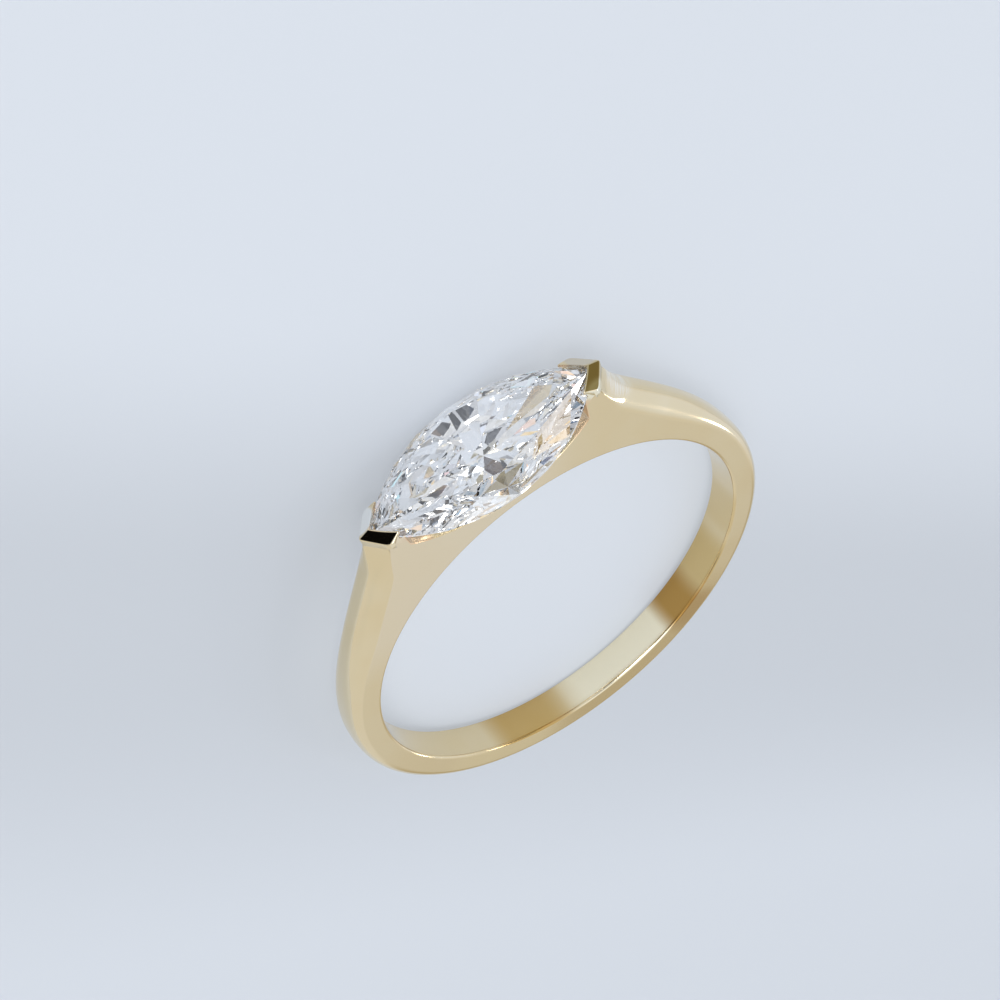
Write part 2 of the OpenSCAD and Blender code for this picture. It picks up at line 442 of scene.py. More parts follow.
@dataclass(frozen=True)
class GoldFinish:
    """Polished yellow gold, its roughness a little different on each surface, with painted
    reflection and shade blended into its colour.

    Sizes are in millimetres. The piece's attributes give each zone's share of a point. The zone
    tones, the tones round the ring and the facets' spots are painted reflection and shade: they
    stand for what the polish mirrors in its surroundings.
    """

    colour: tuple = (0.83, 0.69, 0.44)
    pale: tuple = (0.88, 0.78, 0.57)
    pale_share: float = 0.35
    # Painted reflection and shade by zone: paler flanks, a deeper amber bore and a warmer seat.
    painted_zone_tones: tuple = (
        (Zone.FLANK, 0.2, (0.88, 0.78, 0.57)),
        (Zone.BORE, 0.25, (0.80, 0.62, 0.33)),
        (Zone.SEAT, 0.55, (0.95, 0.66, 0.45)),
    )
    worn: tuple = (0.95, 0.87, 0.68)
    worn_share: float = 0.5
    rough: float = 0.16
    zone_rough: tuple = ((Zone.FLANK, 0.24), (Zone.BORE, 0.13), (Zone.EDGE, 0.10))
    head_gloss: float = 0.6
    # Painted reflections round the ring: bright and amber tones for what the bore and flanks
    # mirror.
    painted_reflections: tuple = (
        ReflectionStretch(155.0, 11.0, 10.0, (0.63, 0.42, 0.15), 0.9, 0.1),
        ReflectionStretch(20.0, 32.0, 24.0, (0.92, 0.83, 0.68), 0.0, 0.6),
        ReflectionStretch(145.0, 16.0, 16.0, (0.91, 0.78, 0.50), 0.0, 0.6),
        ReflectionStretch(189.0, 18.0, 9.0, (1.0, 0.90, 0.66), 1.0),
        ReflectionStretch(195.0, 30.0, 16.0, (0.66, 0.50, 0.24), 0.0, 0.6),
        ReflectionStretch(229.0, 9.0, 10.0, (0.64, 0.45, 0.17), 0.75, 0.1),
        ReflectionStretch(213.5, 6.0, 8.0, (0.48, 0.28, 0.08), 1.0, 0.55),
        ReflectionStretch(251.0, 8.0, 8.0, (0.72, 0.54, 0.26), 0.6),
    )
    # Painted reflections on the prong facets: a near-white back facet, darker khaki facets and a
    # lighter foot on the right prong's end facet.
    facets: tuple = (
        Spot((-4.95, 0.62, 11.95), 0.95, (0.62, 0.51, 0.28)),
        Spot((-4.75, 1.40, 11.70), 1.10, (0.97, 0.92, 0.74)),
        Spot((4.95, -0.62, 11.95), 0.75, (0.96, 0.965, 0.94)),
        Spot((-4.95, -0.62, 11.95), 0.75, (0.70, 0.63, 0.50)),
    )
    facet_full: float = 0.5
    cloud_mm: float = 3.0
    cloud_rise: tuple = (0.35, 0.65)
    cloud_rough: float = 0.06
    cloud_stretch: float = 0.4
    grain_mm: float = 0.035
    grain_rough: float = 0.04
    grain_bump_mm: float = 0.0004
    bump: float = 0.35
    # File marks on the shoulder: real scratches in bump and roughness, with a pale near-white tint
    # that is a painted sheen.
    filed: Spot = Spot((-5.98, 0.05, 10.75), 1.2, (0.96, 0.94, 0.88))
    file_way: tuple = (-0.42, 0.0, -0.907)
    file_mm: float = 0.04
    file_length_mm: float = 1.0
    file_rise: tuple = (0.40, 0.62)
    file_shares: tuple = (0.05, 0.95)
    file_rough: float = 0.5
    file_middle: float = 0.45
    file_depth: float = 4.0

    def material(self, name: str, pose: Pose) -> bpy.types.Material:
        """Build the material.

        Args:
            name: The material's name.
            pose: Where the ring lies, for patterns that follow it.

        Returns:
            The material.
        """
        made, kit = new_material(name)
        spot = kit.node("ShaderNodeTexCoord", output="Object")
        share = {zone: kit.node("ShaderNodeAttribute", {"attribute_name": zone.value},
                                output="Fac") for zone in Zone}
        cloud = kit.noise(spot, self.cloud_mm, detail=2.0)
        grain = kit.noise(spot, self.grain_mm, detail=3.0, rough=0.6)

        rough = self.rough + (cloud - 0.5) * self.cloud_rough + (grain - 0.5) * self.grain_rough
        for zone, value in self.zone_rough:
            rough = rough + share[zone] * (value - self.rough)
        rough = rough * (1.0 - share[Zone.HEAD] * self.head_gloss)

        tint = kit.mix(cloud.rise(*self.cloud_rise) * self.pale_share, self.colour, self.pale)
        # Painted reflection and shade: each zone's tone stands for the light that the surface
        # mirrors.
        for zone, most, tone in self.painted_zone_tones:
            tint = kit.mix(share[zone] * most, tint, tone)
        tint = kit.mix(share[Zone.EDGE] * share[Zone.HEAD] * self.worn_share, tint, self.worn)
        off = kit.vector("SUBTRACT", spot, tuple(pose.centre))
        flat = kit.node("ShaderNodeCombineXYZ", {},
                        {"X": kit.dot(off, pose.along), "Z": kit.dot(off, pose.up)})
        way = kit.vector("NORMALIZE", flat)
        # Painted reflections: lighter and darker tones on the bore and flanks for what the polish
        # mirrors, made uneven by the cloud.
        uneven = (cloud - 0.5) * self.cloud_stretch + 1.0
        for stretch in self.painted_reflections:
            zones = share[Zone.BORE] * stretch.bore + share[Zone.FLANK] * stretch.flank
            tint = kit.mix(stretch.share(kit, way) * zones * uneven, tint, stretch.tone)
        # Painted reflections on the prong facets.
        for facet in self.facets:
            blend = (facet.share(kit, spot, pose) * share[Zone.HEAD]).rise(0.0, self.facet_full)
            tint = kit.mix(blend, tint, facet.tone)

        # File marks: the bump and roughness are real scratches; the pale tint along the streaks is
        # a painted sheen.
        filed = self.filed.share(kit, spot, pose)
        filed = filed * (1.0 - share[Zone.FLANK]) * (1.0 - share[Zone.HEAD])
        streak = self.file_marks(kit, spot, pose)
        least, most = self.file_shares
        strength = streak.rise(*self.file_rise) * (most - least) + least
        tint = kit.mix(filed * strength, tint, self.filed.tone)
        rough = rough + filed * (streak - self.file_middle) * self.file_rough
        height = grain + filed * streak * self.file_depth
        normal = kit.node("ShaderNodeBump", {},
                          {"Height": height, "Distance": self.grain_bump_mm * MM,
                           "Strength": self.bump})
        kit.surface({"Base Color": tint, "Metallic": 1.0, "Roughness": rough,
                     "Normal": normal})
        return made

    def file_marks(self, kit: NodeKit, spot: Wire, pose: Pose) -> Wire:
        """Draw fine file marks that run across the shoulder.

        Args:
            kit: Where the nodes go.
            spot: The object coordinates.
            pose: Where the ring lies.

        Returns:
            The marks, from 0 to 1.
        """
        ways = ((pose.turned(self.file_way), self.file_mm),
                (pose.finger, self.file_length_mm))
        parts = [kit.dot(spot, way) * (self.file_mm / size) for way, size in ways]
        across = kit.node("ShaderNodeCombineXYZ", {}, parts)
        return kit.noise(across, self.file_mm, detail=3.0)


@dataclass(frozen=True)
class StoneFinish:
    """Clear, near-colourless diamond."""

    colour: tuple = (0.985, 0.99, 1.0)
    ior: float = 2.417
    smear_mm: float = 1.6
    smear_rise: tuple = (0.62, 0.9)
    smear_rough: float = 0.01

    def material(self, name: str) -> bpy.types.Material:
        """Build the material, with a faint unevenness of the polish.

        Args:
            name: The material's name.

        Returns:
            The material.
        """
        made, kit = new_material(name)
        spot = kit.node("ShaderNodeTexCoord", output="Object")
        smear = kit.noise(spot, self.smear_mm, detail=2.0)
        tint = kit.mix(smear, self.colour, (1.0, 1.0, 1.0))
        rough = smear.rise(*self.smear_rise) * self.smear_rough
        kit.surface({"Base Color": tint, "Metallic": 0.0, "Roughness": rough,
                     "IOR": self.ior, "Transmission Weight": 1.0})
        return made


@dataclass
class Stone:
    """The marquise brilliant, cut by meeting its facet planes.

    Whole steps of the outline carry the main facets, which touch it along its tangent.
    Sizes are in millimetres, and heights are measured from the girdle's middle.
    """

    pose: Pose
    half_l: float
    girdle_z: float = 11.82
    half_w: float = 2.375
    crown_h: float = 0.68
    girdle_h: float = 0.14
    pavilion_h: float = 2.2
    table_share: float = 0.69
    star_share: float = 0.72
    lower_share: float = 0.76
    mains: int = 8
    arc_cuts: int = 8

    def __post_init__(self) -> None:
        """Work out the outline and the levels of the facet corners."""
        self.outline = Marquise(self.half_l, self.half_w)
        self.top = self.girdle_h / 2.0
        self.table_z = self.top + self.crown_h
        self.culet = np.array([0.0, 0.0, -self.top - self.pavilion_h])

    def rim(self, step: Array, z: float) -> Array:
        """Give the rim's points at a level."""
        flat = self.outline.point(np.asarray(step, float))
        return np.concatenate([flat, np.full(flat.shape[:-1] + (1,), z)], -1)

    def heading(self, step: Array) -> Array:
        """Give the rim's tangent, from two near points. At the tips it runs straight across.

        Args:
            step: Places round the outline.

        Returns:
            Unit vectors.
        """
        nudge = 1e-3
        ahead = unit(self.rim(step + nudge, 0.0) - self.rim(step - nudge, 0.0))
        at_tip = (np.mod(step, 4.0) == 0.0)[..., None]
        return np.where(at_tip, np.array([0.0, 1.0, 0.0]), ahead)

    @staticmethod
    def plane(a: Array, b: Array, c: Array) -> tuple:
        """Give planes through three points each, as unit normals and distances."""
        normal = unit(np.cross(b - a, c - a))
        return normal, np.sum(normal * a, -1)

    @staticmethod
    def meet(first: tuple, second: tuple, level: float) -> Array:
        """Find where two planes meet at a level, from a pair of linear equations.

        Args:
            first: Normals and distances of one row of planes.
            second: Those of the planes that they meet.
            level: The height.

        Returns:
            One point for each pair.
        """
        (n, d), (m, e) = first, second
        d, e = d - n[:, 2] * level, e - m[:, 2] * level
        det = n[:, 0] * m[:, 1] - n[:, 1] * m[:, 0]
        x = (d * m[:, 1] - e * n[:, 1]) / det
        y = (n[:, 0] * e - m[:, 0] * d) / det
        return np.stack([x, y, np.full_like(x, level)], -1)

    def corners(self, level: float, apex: Array, meet_z: float) -> Array:
        """Meet each main facet's plane with the next one's.

        Args:
            level: Height of the rim that the mains touch.
            apex: A further point of each main, one row each.
            meet_z: Level at which the neighbours meet.

        Returns:
            One corner between each pair of mains.
        """
        steps = np.arange(self.mains, dtype=float)
        at = self.rim(steps, level)
        normal, distance = self.plane(at, at + self.heading(steps), apex)
        after = np.roll(normal, -1, 0), np.roll(distance, -1)
        return self.meet((normal, distance), after, meet_z)

    def scalloped_rim(self, level: float, corners: Array) -> Array:
        """Lift the rim's points onto the planes of the girdle facets.

        Each plane holds the rim's points at a whole and a half step, and a facet corner.

        Args:
            level: The rim's height before the lift.
            corners: The facet corners between the mains.

        Returns:
            The lifted points.
        """
        count = 2 * self.mains * self.arc_cuts
        steps = np.arange(count) / (2.0 * self.arc_cuts)
        low = np.floor(steps * 2.0) / 2.0
        normal, distance = self.plane(self.rim(low, level), self.rim(low + 0.5, level),
                                      corners[np.floor(steps).astype(int)])
        points = self.rim(steps, level)
        flat = np.sum(normal[:, :2] * points[:, :2], -1)
        points[:, 2] = (distance - flat) / normal[:, 2]
        return points

    def mesh(self) -> tuple:
        """Work out the stone's corners and faces.

        Returns:
            The corners, around the girdle's middle, and the faces.
        """
        n, per_main = self.mains, 2 * self.arc_cuts
        steps = np.arange(n, dtype=float)
        table = self.rim(steps, self.table_z) * [self.table_share, self.table_share, 1.0]
        stars = self.corners(self.top, table, self.top + self.star_share * self.crown_h)
        keel = -self.top - self.lower_share * self.pavilion_h
        lows = self.corners(-self.top, np.tile(self.culet, (n, 1)), keel)
        upper = self.scalloped_rim(self.top, stars)
        lower = self.scalloped_rim(-self.top, lows)
        count = len(upper)
        points = np.concatenate([table, stars, upper, lower, lows, self.culet[None]])
        star_at, upper_at = n, 2 * n
        lower_at = upper_at + count
        low_at = lower_at + count
        culet_at = low_at + n
        faces = [list(range(n))]
        for k in range(n):
            after, before = (k + 1) % n, (k - 1) % n
            main, half = k * per_main, per_main // 2
            ring = [(main + i) % count for i in range(per_main + 1)]
            faces += [[k, star_at + k, after],
                      [k, star_at + before, upper_at + main, star_at + k],
                      [star_at + k, *(upper_at + i for i in ring[:half + 1])],
                      [star_at + k, *(upper_at + i for i in ring[half:])],
                      [culet_at, low_at + before, lower_at + main, low_at + k],
                      [low_at + k, *(lower_at + i for i in ring[:half + 1])],
                      [low_at + k, *(lower_at + i for i in ring[half:])]]
        faces += [[upper_at + i, lower_at + i, lower_at + (i + 1) % count,
                   upper_at + (i + 1) % count] for i in range(count)]
        return points, faces

    def build(self, finish: StoneFinish) -> None:
        """Make the stone.

        Args:
            finish: What it is made of.
        """
        points, faces = self.mesh()
        upright = points + [0.0, 0.0, self.girdle_z]
        piece = make_piece("marquise_stone", self.pose.placed(upright), faces,
                           "stone")
        piece.data.materials.append(finish.material("diamond"))


@dataclass
class Band:
    """The gold band: shank, shoulders, bridge, posts and V prongs in one closed skin.

    A row of points runs across the band from flank to flank. The rows follow a path in the
    X-Z plane: along the scallop, up a post, over its prong, down the nose and the shoulder
    and round the shank. Sizes are in millimetres.
    """

    pose: Pose
    stone: Stone
    half_w: float = 0.8
    shank_t: float = 1.4
    shank_dome: float = 0.27
    shoulder_dome: float = 0.75
    shoulder_from: float = 74.0
    shoulder_pull: float = 3.5
    scoop_pull: float = 2.5
    scoop_out: float = 0.56
    scoop_corner_out: float = 0.39
    scoop_foot_h: float = 1.5
    scoop_corner_h: float = 1.78
    nose_foot_h: float = 2.95
    prong_t: float = 0.445
    prong_rise: float = 0.39
    facet_fall: tuple = (0.40, 0.42)
    head_half_w: float = 0.93
    head_corner_r: float = 0.16
    ledge_h: float = 0.035
    post_foot_x: float = 3.95
    post_top_x: float = 4.1
    bridge_t: float = 0.7
    scallop_r: float = 6.3
    scallop_tilt: float = 0.055
    seat_gap: float = 0.03
    seat_relief: float = 0.15
    lip: float = 0.06
    nose_spread: float = 1.01
    comfort_r: float = 0.07
    comfort_power: float = 2.2
    bore_edge_r: float = 0.10
    edge_r: float = 0.045
    seat_edge_r: float = 0.008
    soft_edge_r: float = 0.20
    seat_radii: tuple = (0.05, 0.02, 0.02, 0.04)
    prong_edge_r: float = 0.06
    crease_r: float = 0.05
    seat_face: float = 3.0
    seat_least: float = 0.02
    dome_power: float = 2.5
    dome_ease: float = 1.6
    edge_ease: float = 6.0
    head_reach: float = 0.8
    seat_high: float = 0.6
    seat_low: float = 0.3
    seat_near: float = 0.03
    bore_count: int = 320
    scallop_count: int = 24
    scoop_count: int = 22
    shoulder_count: int = 54
    shank_count: int = 75
    corner_count: int = 6
    longest_step: float = 0.14
    crease_columns: tuple = (0.0, 0.012, 0.03, 0.06)
    even_columns: tuple = (0.1, 1.0, 15)
    edge_columns: int = 5
    skirt_steps: tuple = (0.3, 0.6, 1.0)
    wall_skirt: tuple = ((0.01, 0.0, -0.02), (0.03, 0.0, -0.05), (0.05, 0.0, -0.08))
    nose_skirt: tuple = ((-0.05, 0.11, 0.01), (-0.08, 0.0, -0.19), (-0.09, 0.0, -0.21))
    foot_skirt: tuple = ((-0.02, 0.11, 0.02), (-0.02, 0.0, -0.01), (-0.01, 0.0, -0.02))
    ledge_skirt: tuple = ((-0.03, 0.0, -0.01), (-0.05, 0.0, -0.015), (-0.07, 0.0, -0.02))

    def __post_init__(self) -> None:
        """Work out the radii and outlines that the rest is drawn from."""
        self.bore_r = self.pose.bore_r
        self.crest_r = self.bore_r + self.shank_t
        self.nose_x = self.stone.half_l + self.prong_t
        outline = self.stone.outline
        self.nose_depth = self.half_w * outline.arc_drop / self.stone.half_l * self.nose_spread
        self.grown = Marquise(self.stone.half_l + self.seat_gap,
                              self.stone.half_w + self.seat_gap)
        self.narrow = Marquise(self.stone.half_l - self.lip, self.stone.half_w - self.lip)
        turn = np.radians(np.linspace(0.0, 90.0, self.edge_columns + 1))
        middle = np.concatenate([self.crease_columns, np.linspace(*self.even_columns)])
        half_turn = np.concatenate([np.zeros(len(middle) - 1), turn])
        half_spread = np.concatenate([middle, np.ones(len(turn) - 1)])
        self.turn = np.concatenate([-half_turn[:0:-1], half_turn])
        self.spread = np.concatenate([-half_spread[:0:-1], half_spread])

    def across(self, edge_r: Union[float, Array], half_w: float) -> Array:
        """Place the columns across the band: even, then round the edge by its radius's sine."""
        edge_r = np.asarray(edge_r)[..., None]
        return self.spread * (half_w - edge_r) + edge_r * np.sin(self.turn)

    def facet_z(self, x: Array, y: Array) -> Array:
        """Give the height of the prong's top facets: a plane that falls outwards each way."""
        fall_x, fall_y = self.facet_fall
        return (self.stone.girdle_z + self.prong_rise
                - fall_x * (x - self.narrow.half_l) - fall_y * np.abs(y))

    def folded(self, y: Array) -> Array:
        """Give the distance off the middle plane, with the crease rounded like a hyperbola."""
        return np.sqrt(y * y + self.crease_r ** 2) - self.crease_r

    def rows(self, edge_r: Union[float, Array], x: Place, z: Place,
             half_w: float = None, skirt: Sequence = None) -> Array:
        """Lay rows of points across the band, from one flank to the other.

        Beyond its rounded edges each row has a skirt of a few points on either flank.

        Args:
            edge_r: Radius of the rows' edges.
            x: Where the rows run, or a function that gives it for each distance off the
                middle plane.
            z: The height, in the same way.
            half_w: Half the band's width there, where it isn't the band's own.
            skirt: The skirt's points, where they don't simply sink below the edge.

        Returns:
            Points with X, Y, Z and the depth to which they sink under the path.
        """
        y = self.across(edge_r, half_w or self.half_w)
        x = x(y) if callable(x) else x
        z = z(x, y) if callable(z) else z
        edge = np.asarray(edge_r)[..., None]
        main = np.stack(np.broadcast_arrays(x, y, z, edge * (1.0 - np.cos(self.turn))), -1)
        if skirt is None:
            deeper = edge[..., None] * np.array(self.skirt_steps)[:, None] * [0, 0, 0, 1]
            right = main[..., -1:, :] + deeper
        else:
            right = np.pad(skirt, ((0, 0), (0, 1)))
        left = right[..., ::-1, :] * [1.0, -1.0, 1.0, 1.0]
        return np.concatenate([left, main, right], -2)

    @staticmethod
    def round_corners(points: Array, radii: Sequence[float], steps: int,
                      most: float = 0.45) -> Array:
        """Round a path's inner corners with short curves.

        Each corner's curve is a Bezier whose ends lie on the two sides, at the radius times
        the tangent of half the turn, and whose middle control point is the corner.

        Args:
            points: Rows at the corners.
            radii: A radius for each inner corner.
            steps: Rows for each corner.
            most: Share of a side that a corner's curve may take up.

        Returns:
            The rounded rows, with the first and last corner kept.
        """
        corner = points[1:-1]
        back, ahead = points[:-2] - corner, points[2:] - corner
        straight = -np.sum(unit(back[..., :3]) * unit(ahead[..., :3]), -1)
        half_turn = np.arccos(np.clip(straight, -1.0, 1.0)) / 2.0
        cut = (np.array(radii)[:, None] * np.tan(half_turn))[..., None]
        start = corner + back * np.minimum(cut / length(back), most)
        end = corner + ahead * np.minimum(cut / length(ahead), most)
        share = np.linspace(0.0, 1.0, steps)[None, :, None, None]
        curve = ((1.0 - share) ** 2 * start[:, None] + share ** 2 * end[:, None]
                 + 2.0 * share * (1.0 - share) * corner[:, None])
        return np.concatenate([points[:1], curve.reshape(-1, *points.shape[1:]), points[-1:]])

    @staticmethod
    def fill_rows(rows: Array, longest: float) -> Array:
        """Add rows by straight blends.

        Args:
            rows: The rows as they are.
            longest: The furthest that two neighbours may lie apart.

        Returns:
            The old and the new rows.
        """
        steps = length(np.diff(rows, axis=0)).max((1, 2))
        filled = []
        for row, after, step in zip(rows, rows[1:], steps):
            share = np.arange(math.ceil(step / longest)) / math.ceil(step / longest)
            filled.append(row + (after - row) * share[:, None, None])
        return np.concatenate([*filled, rows[-1:]])

    def scallop_rows(self, tilt: float) -> Array:
        """Follow the scallop's arc, from the ring's middle plane to the post's foot.

        Args:
            tilt: Slope added to the arc, since the scallop was filed slightly askew.

        Returns:
            The rows.
        """
        x = np.linspace(0.0, self.post_foot_x, self.scallop_count)[:, None]
        floor_z = self.bore_r + self.bridge_t + tilt * x
        z = floor_z + self.scallop_r - np.sqrt(self.scallop_r ** 2 - x ** 2)
        return self.rows(np.full(len(x), self.edge_r), x, z)

    def prong_rows(self, foot: Array) -> Array:
        """Go up the post's inner face, through the seat and over the prong to its nose.

        Args:
            foot: The scallop's last row.

        Returns:
            The rows, from the foot to the lower end of the nose.
        """
        girdle = self.stone.girdle_z
        half_girdle = self.stone.girdle_h / 2.0 + self.seat_gap
        face_z = girdle - self.seat_face * half_girdle
        foot_x, foot_z = foot[0, 0], foot[0, 2]
        lean = (face_z - foot_z) / (girdle - foot_z)
        face_x = foot_x + (self.post_top_x - self.post_foot_x) * lean
        lip_top = girdle + half_girdle + self.lip + self.seat_gap
        nose_foot = self.bore_r + self.nose_foot_h

        def bearing(x: Array, y: Array) -> Array:
            """Give the height of the cone that bears the stone's pavilion."""
            share = self.grown.scale_through(x + 0.0 * y, y)
            depth = (1.0 - share) * (self.stone.pavilion_h + self.seat_relief)
            return girdle - half_girdle - np.maximum(depth, self.seat_least)

        def nose(y: Array) -> Array:
            """Give the nose's V: it runs back evenly, then rounds the corner of the head."""
            side = np.abs(y) - (self.head_half_w - self.head_corner_r)
            over = np.clip(side / self.head_corner_r, 0.0, 1.0)
            rounding = self.head_corner_r * (1.0 - np.sqrt(1.0 - over * over))
            return self.nose_x - self.nose_depth * self.folded(y) / self.half_w - rounding

        def hung(x: float, z: float, offsets: Sequence) -> Array:
            """Place a skirt's points by their offsets from a point of the flank."""
            return np.array([x, self.half_w, z]) + offsets

        fine, wide, flank = self.seat_edge_r, self.head_half_w, self.half_w
        end_x, back_x = float(nose(np.array(wide))), float(nose(np.array(flank)))
        wall_x = float(self.narrow.reach(flank))
        wall_z = float(self.facet_z(wall_x, flank))
        ledge_z = nose_foot - self.ledge_h
        points = np.stack([
            foot,
            self.rows(fine, face_x, bearing),
            self.rows(fine, self.grown.reach, girdle - half_girdle),
            self.rows(fine, self.grown.reach, girdle + half_girdle),
            self.rows(fine, self.narrow.reach, lip_top),
            self.rows(fine, self.narrow.reach, self.facet_z,
                      skirt=hung(wall_x, wall_z, self.wall_skirt)),
            self.rows(self.edge_r, nose, self.facet_z, wide,
                      hung(end_x, girdle, self.nose_skirt)),
            self.rows(self.edge_r, nose, nose_foot, wide,
                      hung(end_x, nose_foot, self.foot_skirt)),
        ])
        radii = (*self.seat_radii, self.prong_edge_r, self.prong_edge_r)
        rounded = self.round_corners(points, radii, self.corner_count)
        below = self.rows(fine, nose, ledge_z, skirt=hung(back_x, ledge_z, self.ledge_skirt))
        return np.concatenate([self.fill_rows(rounded, self.longest_step), below[None]])

    def domed(self, crest: Array, heading: Array, dome: Array, power: Array,
              edge_r: Array) -> Array:
        """Drop each row from its crest towards the flanks.

        The drop is the dome's height times the share of the half width to a power.

        Args:
            crest: Crest points, X and Z.
            heading: Directions in which the path travels there.
            dome: Height of the dome by row.
            power: Power by row: 1 makes a V, larger ones a rounder dome.
            edge_r: Radius of the edges by row.

        Returns:
            The rows.
        """
        share = self.folded(self.across(edge_r, self.half_w)) / self.half_w
        drop = dome[:, None] * share ** power[:, None]
        x = crest[:, :1] + heading[:, 1:] * drop
        return self.rows(edge_r, x, crest[:, 1:] - heading[:, :1] * drop)

    def shoulder_rows(self) -> Array:
        """Go down the scoop under the nose, down the shoulder and round to the shank's foot.

        Both curves are Beziers, and the shank is an arc. The edges grow softer on the way.

        Returns:
            The rows.
        """
        foot = np.array([self.nose_x + self.scoop_out, self.bore_r + self.scoop_foot_h])
        corner = np.array([self.nose_x + self.scoop_corner_out,
                           self.bore_r + self.scoop_corner_h])
        top = np.array([self.nose_x, self.bore_r + self.nose_foot_h])
        start = math.radians(self.shoulder_from)
        shank = self.crest_r * np.array([math.sin(start), math.cos(start)])
        leave = np.array([-math.cos(start), math.sin(start)])
        arrive = unit(corner - foot)

        down = np.linspace(1.0, 0.0, self.scoop_count)[1:]
        scoop = bezier([foot, corner, top], down)
        scoop_dome = self.shoulder_dome + (self.nose_depth - self.shoulder_dome) * down
        scoop_power = self.dome_power - (self.dome_power - 1.0) * smooth(down)

        down = np.linspace(1.0, 0.0, self.shoulder_count)[1:]
        shoulder = bezier([shank, shank + self.shoulder_pull * leave,
                           foot - self.scoop_pull * arrive, foot], down)
        rise = smooth(self.dome_ease * down)
        shoulder_dome = self.shank_dome + (self.shoulder_dome - self.shank_dome) * rise

        angle = np.linspace(start, math.pi, self.shank_count)[1:]
        round_shank = self.crest_r * np.stack([np.sin(angle), np.cos(angle)], -1)

        crest = np.concatenate([scoop, shoulder, round_shank])
        heading = unit(np.gradient(np.concatenate([top[None], crest]), axis=0))[1:]
        heading[-1] = [-1.0, 0.0]
        dome = np.concatenate([scoop_dome, shoulder_dome, np.full(len(angle), self.shank_dome)])
        power = np.concatenate([scoop_power,
                                np.full(len(shoulder) + len(angle), self.dome_power)])
        softer = smooth(self.edge_ease * np.linspace(0.0, 1.0, len(crest)))
        edge_r = self.edge_r + (self.soft_edge_r - self.edge_r) * softer
        return self.domed(crest, heading, dome, power, edge_r)

    def outer_grid(self) -> tuple:
        """Work out the outer skin, closed round the ring.

        The edges are rounded by moving each row inwards by the edge's radius times one less
        the cosine of the turn.

        Returns:
            The grid's points and the shares of its finishes by zone.
        """
        halves = []
        for tilt in (self.scallop_tilt, -self.scallop_tilt):
            scallop = self.scallop_rows(tilt)
            prong = self.prong_rows(scallop[-1])
            halves.append(np.concatenate([scallop[:-1], prong, self.shoulder_rows()]))
        path = np.concatenate([halves[0], halves[1][-2:0:-1] * [-1.0, 1.0, 1.0, 1.0]])
        points, sink = path[..., :3], path[..., 3]
        travel = unit((np.roll(points, -1, 0) - np.roll(points, 1, 0))[..., [0, 2]])
        points[..., 0] += travel[..., 1] * sink
        points[..., 2] -= travel[..., 0] * sink

        skirt = len(self.skirt_steps)
        side = np.zeros(points.shape[:2])
        side[:, :skirt] = side[:, -skirt:] = 1.0
        edge = np.zeros(points.shape[:2])
        edge[:, skirt:-skirt] = np.abs(np.sin(self.turn)) > 0.0
        x, y, z = np.moveaxis(points, -1, 0)
        x, girdle = np.abs(x), self.stone.girdle_z
        far = x > self.post_foot_x - self.head_reach
        head = (z > self.bore_r + self.nose_foot_h - self.ledge_h / 2.0) & far
        wall = (x - self.narrow.reach(y) < self.seat_near) & far
        low = (z < girdle - self.seat_low) & (z > self.bore_r + self.bridge_t) & (side == 0.0)
        seat = wall & (low | (np.abs(z - girdle) < self.seat_high))
        zones = {Zone.FLANK: side, Zone.EDGE: edge, Zone.HEAD: head, Zone.SEAT: seat}
        return points, zones

    def bore_grid(self) -> tuple:
        """Work out the finger opening's wall.

        Its radius grows by a power of the share of the half width, and by the rounded edge.

        Returns:
            The grid's points and the shares of its finishes by zone.
        """
        angle = np.linspace(0.0, 2.0 * math.pi, self.bore_count, endpoint=False)[:, None]
        y = self.across(self.bore_edge_r, self.half_w)
        radius = (self.bore_r + self.comfort_r * np.abs(y / self.half_w) ** self.comfort_power
                  + self.bore_edge_r * (1.0 - np.cos(self.turn)))
        x, z = radius * np.sin(angle), radius * np.cos(angle)
        side = np.zeros(x.shape)
        side[:, [0, -1]] = 1.0
        return (np.stack([x, np.broadcast_to(y, x.shape), z], -1),
                {Zone.FLANK: side, Zone.BORE: 1.0 - side})

    @staticmethod
    def grid_normals(points: Array) -> Array:
        """Work out a grid's normals: across the steps from row to row and column to column.

        The steps reach to the neighbours on both sides, so a long flat strip outweighs the
        short rounded one beside it. The first and the last column lie on the flanks.

        Args:
            points: The grid's points.

        Returns:
            One normal for each point.
        """
        along = np.roll(points, -1, 0) - np.roll(points, 1, 0)
        made = unit(np.cross(along, np.gradient(points, axis=1)))
        made[:, 0], made[:, -1] = [0.0, -1.0, 0.0], [0.0, 1.0, 0.0]
        return made

    @staticmethod
    def grid_faces(at: Array) -> list:
        """List the quads of a grid of corner numbers, whose last row is joined to its first."""
        after = np.roll(at, -1, 0)
        quads = np.stack([at[:, :-1], after[:, :-1], after[:, 1:], at[:, 1:]], -1)
        return quads.reshape(-1, 4).tolist()

    @staticmethod
    def listed(*grids: Array) -> Array:
        """List the vectors of some grids one after the other."""
        return np.concatenate([grid.reshape(-1, 3) for grid in grids])

    @staticmethod
    def inside(places: Array, loop: Array) -> Array:
        """Tell which places lie inside a loop, by counting the sides to their right.

        Args:
            places: The places, as X and Z.
            loop: The loop's corners in order.

        Returns:
            True for each place inside.
        """
        x, z = places[:, None, 0], places[:, None, 1]
        a, b = loop[None], np.roll(loop, -1, 0)[None]
        spans = (a[..., 1] > z) != (b[..., 1] > z)
        rise = np.where(spans, b[..., 1] - a[..., 1], 1.0)
        crossing = a[..., 0] + (z - a[..., 1]) / rise * (b[..., 0] - a[..., 0])
        return (np.sum(spans & (crossing > x), 1) % 2).astype(bool)

